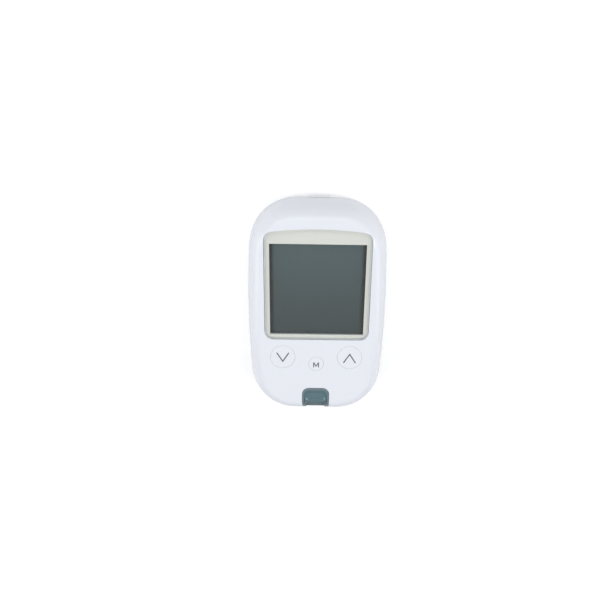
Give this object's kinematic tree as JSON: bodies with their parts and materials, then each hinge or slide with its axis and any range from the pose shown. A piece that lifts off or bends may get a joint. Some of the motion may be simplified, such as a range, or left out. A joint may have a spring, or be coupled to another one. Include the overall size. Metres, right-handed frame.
{
  "type": "blood glucose meter",
  "caption": "Hand-held blood glucose meter with a large display window, flush round keys, a strip port with a sliding ejector, a battery door and a data port cover.",
  "frame": {"origin": "on the surface that the meter lies on, under the middle of its bounding box", "axes": "+X to the right and +Y towards the data port end as the display is read, +Z out of the display"},
  "size_m": [0.061, 0.0968, 0.0246],
  "materials": {
    "cover_plastic": "gloss",
    "clear_window": "clear",
    "border_print": "satin",
    "display_glass": "gloss",
    "inner_plastic": "matte",
    "elastomer": "matte",
    "board": "satin",
    "black_plastic": "matte",
    "bright_metal": "satin",
    "gilt_contact": "polished",
    "teal_plastic": "satin",
    "cell_sleeve": "satin",
    "pale_rubber": "matte",
    "label_film": "satin"
  },
  "bodies": {
    "meter": {"front_cover": "cover_plastic", "rear_cover": "cover_plastic", "display_window": "clear_window", "window_border": "border_print", "display_panel": "display_glass", "display_holder": "inner_plastic", "elastomer_connector": "elastomer", "circuit_board": "board", "processor_chip": "black_plastic", "memory_chip": "black_plastic", "crystal": "bright_metal", "buzzer": "black_plastic", "key_switch_down": "black_plastic", "key_switch_mode": "black_plastic", "key_switch_up": "black_plastic", "strip_port": "teal_plastic", "strip_connector": "black_plastic", "strip_contact_1": "gilt_contact", "strip_contact_2": "gilt_contact", "strip_contact_3": "gilt_contact", "strip_contact_4": "gilt_contact", "battery_1": "cell_sleeve", "battery_2": "cell_sleeve", "battery_spring_1": "bright_metal", "battery_spring_2": "bright_metal", "contact_bridge": "bright_metal", "contact_plus": "bright_metal", "contact_minus": "bright_metal", "set_switch": "black_plastic", "data_jack": "black_plastic", "cover_screw_1": "bright_metal", "cover_screw_2": "bright_metal", "cover_screw_3": "bright_metal", "cover_screw_4": "bright_metal", "rating_label": "label_film"},
    "down_key": {"button_down": "cover_plastic", "switch_stem_down": "inner_plastic"},
    "mode_key": {"button_mode": "cover_plastic", "switch_stem_mode": "inner_plastic"},
    "up_key": {"button_up": "cover_plastic", "switch_stem_up": "inner_plastic"},
    "set_key": {"set_button": "teal_plastic", "set_switch_stem": "inner_plastic"},
    "ejector": {"ejector_button": "teal_plastic", "ejector_slide": "inner_plastic"},
    "door": {"battery_door": "cover_plastic"},
    "port_cover": {"data_port_cover": "pale_rubber"}
  },
  "joints": [
    {"name": "down_key_press", "type": "slide", "parent": "meter", "child": "down_key", "axis": [0, 0, -1], "range_m": [0, 0.0005], "stiffness_N_per_m": 1500, "springref_m": -0.0003},
    {"name": "mode_key_press", "type": "slide", "parent": "meter", "child": "mode_key", "axis": [0, 0, -1], "range_m": [0, 0.0005], "stiffness_N_per_m": 1500, "springref_m": -0.0003},
    {"name": "up_key_press", "type": "slide", "parent": "meter", "child": "up_key", "axis": [0, 0, -1], "range_m": [0, 0.0005], "stiffness_N_per_m": 1500, "springref_m": -0.0003},
    {"name": "set_button_press", "type": "slide", "parent": "meter", "child": "set_key", "axis": [0, 0, 1], "range_m": [0, 0.0005], "stiffness_N_per_m": 1500, "springref_m": -0.0003},
    {"name": "ejector_push", "type": "slide", "parent": "meter", "child": "ejector", "axis": [0, -1, 0], "range_m": [0, 0.0022], "stiffness_N_per_m": 400, "springref_m": -0.001},
    {"name": "battery_door_open", "type": "hinge", "parent": "meter", "child": "door", "pos_m": [0, -0.0364, 0.0002], "axis": [-1, 0, 0], "range_deg": [0, 80]},
    {"name": "port_cover_open", "type": "hinge", "parent": "meter", "child": "port_cover", "pos_m": [-0.00394, 0.0476, 0.004], "axis": [0, 0, 1], "range_deg": [0, 110]}
  ]
}
